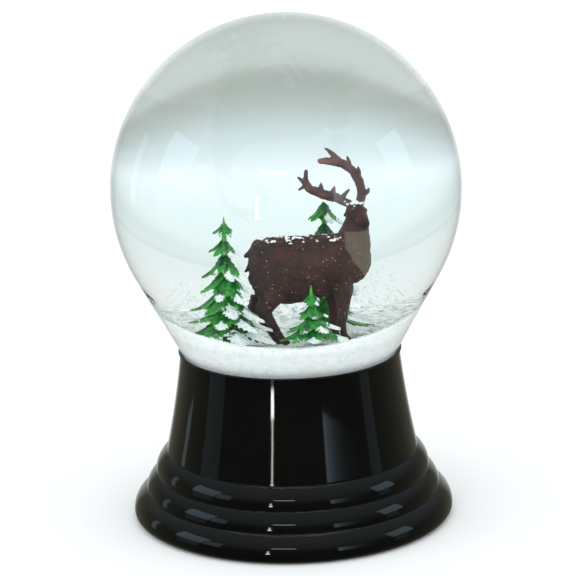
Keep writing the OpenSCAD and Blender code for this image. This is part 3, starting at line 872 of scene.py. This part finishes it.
def eye_gloss():
    """Near-black glossy paint for the eyes."""
    g = Graph("eye_gloss")
    g.set(Base_Color=g.mix(g.noise(800.0), (0.004, 0.003, 0.003), (0.02, 0.012, 0.008)),
          Roughness=g.remap(g.noise(300.0), 0.3, 0.7, 0.08, 0.16))
    return g.material


def deer():
    """The painted deer: one fused body, two eyes and two antlers."""
    bm = deer_shells()
    add_tufts(bm)
    body = fused("deer_sculpt", bm, 0.17, 3)
    move_along_normals(body, coat_relief)
    place(body, "deer_paint", deer_paint(), "deer_body")
    eyes(eye_gloss())
    paint = antler_paint()
    for name, beam, tines in (("left", LEFT_BEAM, LEFT_TINES), ("right", RIGHT_BEAM, RIGHT_TINES)):
        bm = bmesh.new()
        add_bar(bm, beam, 60)
        for tine in tines:
            add_bar(bm, tine, 50)
        antler = fused(f"antler_{name}_sculpt", bm, 0.09, 2)
        move_along_normals(antler, lambda x, y, z, n: 0.10 * noise.noise(Vector((x * 1.6, y * 1.6, z * 1.6))))
        place(antler, "antler_paint", paint, f"deer_antler_{name}")


def perched_snow():
    """Lumps of snow on the deer's head and along its back."""
    bm = bmesh.new()
    heads = [(10.5, -0.8, 74.55, 0.3), (11.3, -1.0, 74.75, 0.42), (12.0, -0.95, 74.85, 0.5),
             (12.75, -0.9, 74.7, 0.34), (12.45, -1.9, 73.5, 0.24), (13.15, -0.7, 74.75, 0.26),
             (10.0, -0.1, 74.9, 0.22), (11.7, -1.5, 74.35, 0.22)]
    for x, y, z, r in heads:
        add_hull(bm, ball_points((x, y, z), (r * rng.uniform(0.9, 1.3), r, r * rng.uniform(0.55, 0.9)), 14))
    for _ in range(70):
        x = rng.uniform(-4.5, 9.5)
        y = rng.uniform(-2.9, 2.0)
        r = 0.09 + 0.26 * rng.random() ** 2
        top = 69.12 - 0.115 * y * y - 0.03 * max(0.0, -x - 1.0) ** 2
        for _ in range(rng.choice((1, 2, 3))):
            at = (x + rng.uniform(-0.4, 0.4), y + rng.uniform(-0.3, 0.3), top + rng.uniform(-0.05, 0.1))
            add_hull(bm, ball_points(at, (r * rng.uniform(0.8, 1.7), r, r * 0.75), 12))
    obj = fused("perched_snow", bm, 0.08, 1)
    move_along_normals(obj, lambda x, y, z, n: 0.08 * noise.noise(Vector((x * 3.1, y * 3.1, z * 3.1))))
    return place(obj, "flakes", snow("perched_snow", 2600.0))


# ---- stage, lights and camera ----

def shade_of_the_globe(g):
    """The floor as the filled bulb shows it: a soft ring of shade behind, and dimmer far to the sides."""
    x, y = g.axis("X"), g.axis("Y")
    away = g.math("SQRT", g.math("ADD", g.math("MULTIPLY", x, x), g.math("MULTIPLY", y, y)))
    stops = [(0.12, (0.56, 0.59, 0.57)), (0.148, (0.53, 0.56, 0.54)), (0.158, (0.41, 0.43, 0.40)),
             (0.168, (0.38, 0.40, 0.37)), (0.183, (0.41, 0.44, 0.42)), (0.2, (0.46, 0.51, 0.49)),
             (0.222, (0.59, 0.67, 0.69)), (0.25, (0.68, 0.76, 0.79)), (0.285, (0.86, 0.94, 0.97)),
             (0.32, (0.83, 0.92, 0.94)), (0.39, (0.79, 0.88, 0.88))]
    ramp = g.nodes.new("ShaderNodeValToRGB")
    ramp.color_ramp.interpolation = "B_SPLINE"
    while len(ramp.color_ramp.elements) < len(stops):
        ramp.color_ramp.elements.new(0.5)
    for element, (distance, colour) in zip(ramp.color_ramp.elements, stops):
        element.position = distance / 0.4
        element.color = (*colour, 1.0)
    g.links.new(g.math("DIVIDE", away, 0.4), ramp.inputs["Fac"])
    aside = g.math("MULTIPLY", g.remap(g.math("ABSOLUTE", x), 0.16, 0.42), g.remap(y, 0.08, 0.3))
    aside = g.math("MULTIPLY", aside, g.remap(away, 0.6, 1.8, 1.0, 0.0))
    return g.mix(aside, ramp.outputs["Color"], (0.70, 0.77, 0.78))


def floor():
    """A plain pale floor, kept out of mirror-like reflections so that the lacquer stays black. Rays through
    the glass see it carry a painted shadow of the globe.
    """
    mesh = bpy.data.meshes.new("floor")
    size = 9.0
    corners = [(-size, -size, 0), (size, -size, 0), (size, size, 0), (-size, size, 0)]
    mesh.from_pydata(corners, [], [(0, 1, 2, 3)])
    obj = bpy.data.objects.new("floor", mesh)
    bpy.context.scene.collection.objects.link(obj)
    g = Graph("floor_paper")
    fine = g.noise(40.0)
    paper = g.mix(fine, (0.93, 0.93, 0.93), (0.95, 0.95, 0.95))
    through = g.nodes.new("ShaderNodeLightPath").outputs["Is Transmission Ray"]
    # painted shadow: rays that come through the glass see the floor darkened by shade_of_the_globe
    g.set(Base_Color=g.mix(through, paper, shade_of_the_globe(g)), Roughness=0.9, Specular_IOR_Level=0.1)
    mesh.materials.append(g.material)
    obj.visible_glossy = False
    return obj


def world_ramp(nodes, links, value, low, high, colour_low, colour_high):
    """A colour that runs from colour_low to colour_high as the value goes from low to high."""
    reach = nodes.new("ShaderNodeMapRange")
    reach.inputs["From Min"].default_value = low
    reach.inputs["From Max"].default_value = high
    links.new(value, reach.inputs["Value"])
    ramp = nodes.new("ShaderNodeValToRGB")
    ramp.color_ramp.elements[0].color = (*colour_low, 1.0)
    ramp.color_ramp.elements[1].color = (*colour_high, 1.0)
    links.new(reach.outputs["Result"], ramp.inputs["Fac"])
    return ramp.outputs["Color"]


def world():
    """Even pale light for the room, and a dim brown and grey room for mirror-like reflections."""
    scene_world = bpy.data.worlds.new("studio")
    bpy.context.scene.world = scene_world
    scene_world.use_nodes = True
    nodes, links = scene_world.node_tree.nodes, scene_world.node_tree.links
    nodes.clear()
    path = nodes.new("ShaderNodeLightPath")
    coords = nodes.new("ShaderNodeTexCoord")
    split = nodes.new("ShaderNodeSeparateXYZ")
    links.new(coords.outputs["Generated"], split.inputs[0])
    level = world_ramp(nodes, links, split.outputs["Z"], 0.0, 0.9, (0.10, 0.12, 0.12), (0.42, 0.50, 0.52))
    walls = world_ramp(nodes, links, split.outputs["Y"], -0.5, 0.95,
                       (0.012, 0.017, 0.015), (0.24, 0.235, 0.175))
    above = nodes.new("ShaderNodeMapRange")
    above.inputs["From Min"].default_value = 0.12
    above.inputs["From Max"].default_value = 0.45
    links.new(split.outputs["Z"], above.inputs["Value"])
    grazing = nodes.new("ShaderNodeMapRange")
    grazing.inputs["From Min"].default_value = 0.88
    grazing.inputs["From Max"].default_value = 0.955
    links.new(split.outputs["Y"], grazing.inputs["Value"])
    rim = nodes.new("ShaderNodeMixRGB")
    rim.inputs["Color2"].default_value = (0.80, 0.86, 0.86, 1.0)
    links.new(grazing.outputs["Result"], rim.inputs["Fac"])
    links.new(walls, rim.inputs["Color1"])
    blend = nodes.new("ShaderNodeMixRGB")
    links.new(above.outputs["Result"], blend.inputs["Fac"])
    links.new(rim.outputs["Color"], blend.inputs["Color1"])
    links.new(level, blend.inputs["Color2"])
    room = nodes.new("ShaderNodeBackground")
    links.new(blend.outputs["Color"], room.inputs["Color"])
    seen = nodes.new("ShaderNodeMixRGB")
    seen.inputs["Color1"].default_value = (0.96, 0.99, 0.99, 1.0)
    links.new(path.outputs["Is Transmission Ray"], seen.inputs["Fac"])
    behind = world_ramp(nodes, links, split.outputs["Z"], 0.0, 0.4,
                        (0.83, 0.93, 0.93), (1.02, 1.05, 1.05))
    links.new(behind, seen.inputs["Color2"])
    even = nodes.new("ShaderNodeBackground")
    links.new(seen.outputs["Color"], even.inputs["Color"])
    through = nodes.new("ShaderNodeMath")
    through.operation = "SUBTRACT"
    through.use_clamp = True
    links.new(path.outputs["Is Glossy Ray"], through.inputs[0])
    links.new(path.outputs["Is Transmission Ray"], through.inputs[1])
    mix = nodes.new("ShaderNodeMixShader")
    links.new(through.outputs[0], mix.inputs["Fac"])
    links.new(even.outputs[0], mix.inputs[1])
    links.new(room.outputs[0], mix.inputs[2])
    out = nodes.new("ShaderNodeOutputWorld")
    links.new(mix.outputs[0], out.inputs["Surface"])


def panel(name, azimuth, elevation, width, height, radiance, colour, distance=1.5):
    """A soft box that faces the globe. Azimuth is from the front towards +X; sizes are in degrees."""
    centre = Vector((0.0, 0.0, 0.06))
    az, el = math.radians(azimuth), math.radians(elevation)
    outward = Vector((math.sin(az) * math.cos(el), -math.cos(az) * math.cos(el), math.sin(el)))
    lamp = bpy.data.lights.new(name, "AREA")
    lamp.shape = "RECTANGLE"
    lamp.size = 2 * distance * math.tan(math.radians(width / 2))
    lamp.size_y = 2 * distance * math.tan(math.radians(height / 2))
    lamp.energy = radiance * math.pi * lamp.size * lamp.size_y
    lamp.color = colour
    obj = bpy.data.objects.new(name, lamp)
    obj.location = centre + outward * distance
    obj.rotation_euler = (-outward).to_track_quat("-Z", "Y").to_euler()
    obj.visible_camera = False
    obj.visible_transmission = False
    bpy.context.scene.collection.objects.link(obj)
    return obj


def lights():
    """Soft boxes for the overhead light, windows, curtain, doorway and lamp."""
    cool = (0.62, 0.86, 1.0)
    overhead = panel("overhead", 0.0, 68.0, 90.0, 78.0, 0.34, (1.0, 1.0, 1.0), 1.6)
    overhead.visible_glossy = False
    panel("window_left_side_low", -80.0, -2.0, 20.0, 16.0, 0.3, cool)
    panel("window_left_side_high", -80.0, 19.0, 24.0, 24.0, 1.7, cool)
    panel("window_left_front", -60.0, 14.0, 13.0, 17.0, 1.1, cool)
    panel("window_left_back", -116.0, 3.0, 6.0, 26.0, 0.7, cool)
    panel("window_right_side_low", 80.0, -2.0, 12.0, 16.0, 0.3, cool)
    panel("window_right_side_high", 82.0, 18.0, 20.0, 22.0, 1.7, cool)
    for i in range(12):
        panel(f"curtain_{i}", 31.3 + 2.6 * i, 5.5, 2.7, 17.0, 2.2 * 0.7 ** i, cool)
    panel("doorway_low", -18.4, -3.7, 2.8, 2.6, 46.0, (0.95, 0.98, 1.0))
    panel("doorway_high", -18.4, 3.8, 1.6, 12.0, 17.0, (0.95, 1.0, 0.88))
    panel("ceiling_lamp", -8.0, 24.0, 16.0, 2.0, 15.0, (0.7, 0.8, 1.0))


def camera():
    """The photograph's long lens, a little above the globe and looking down at it."""
    pitch, roll = math.radians(15.65), math.radians(-1.4)
    ahead = Vector((0.0, math.cos(pitch), -math.sin(pitch)))
    right, up = Vector((1.0, 0.0, 0.0)), Vector((0.0, math.sin(pitch), math.cos(pitch)))
    c, s = math.cos(roll), math.sin(roll)
    right, up = c * right + s * up, -s * right + c * up
    data = bpy.data.cameras.new("camera")
    data.lens = 189.04
    data.sensor_width = 36.0
    data.clip_start = 0.01
    data.clip_end = 50.0
    obj = bpy.data.objects.new("camera", data)
    turn = Matrix((right, up, -ahead)).transposed().to_4x4()
    obj.matrix_world = Matrix.Translation((-0.0001, -0.669, 0.2413)) @ turn
    bpy.context.scene.collection.objects.link(obj)
    bpy.context.scene.camera = obj


camera()
world()
lights()
floor()
dress_cad_nodes()
base_shell()
glass_globe()
water_body()
settled_snow()
flakes()
green = fir_plastic()
for entry in FIRS:
    fir(entry, green)
deer()
perched_snow()
bpy.context.scene.view_settings.view_transform = "Standard"
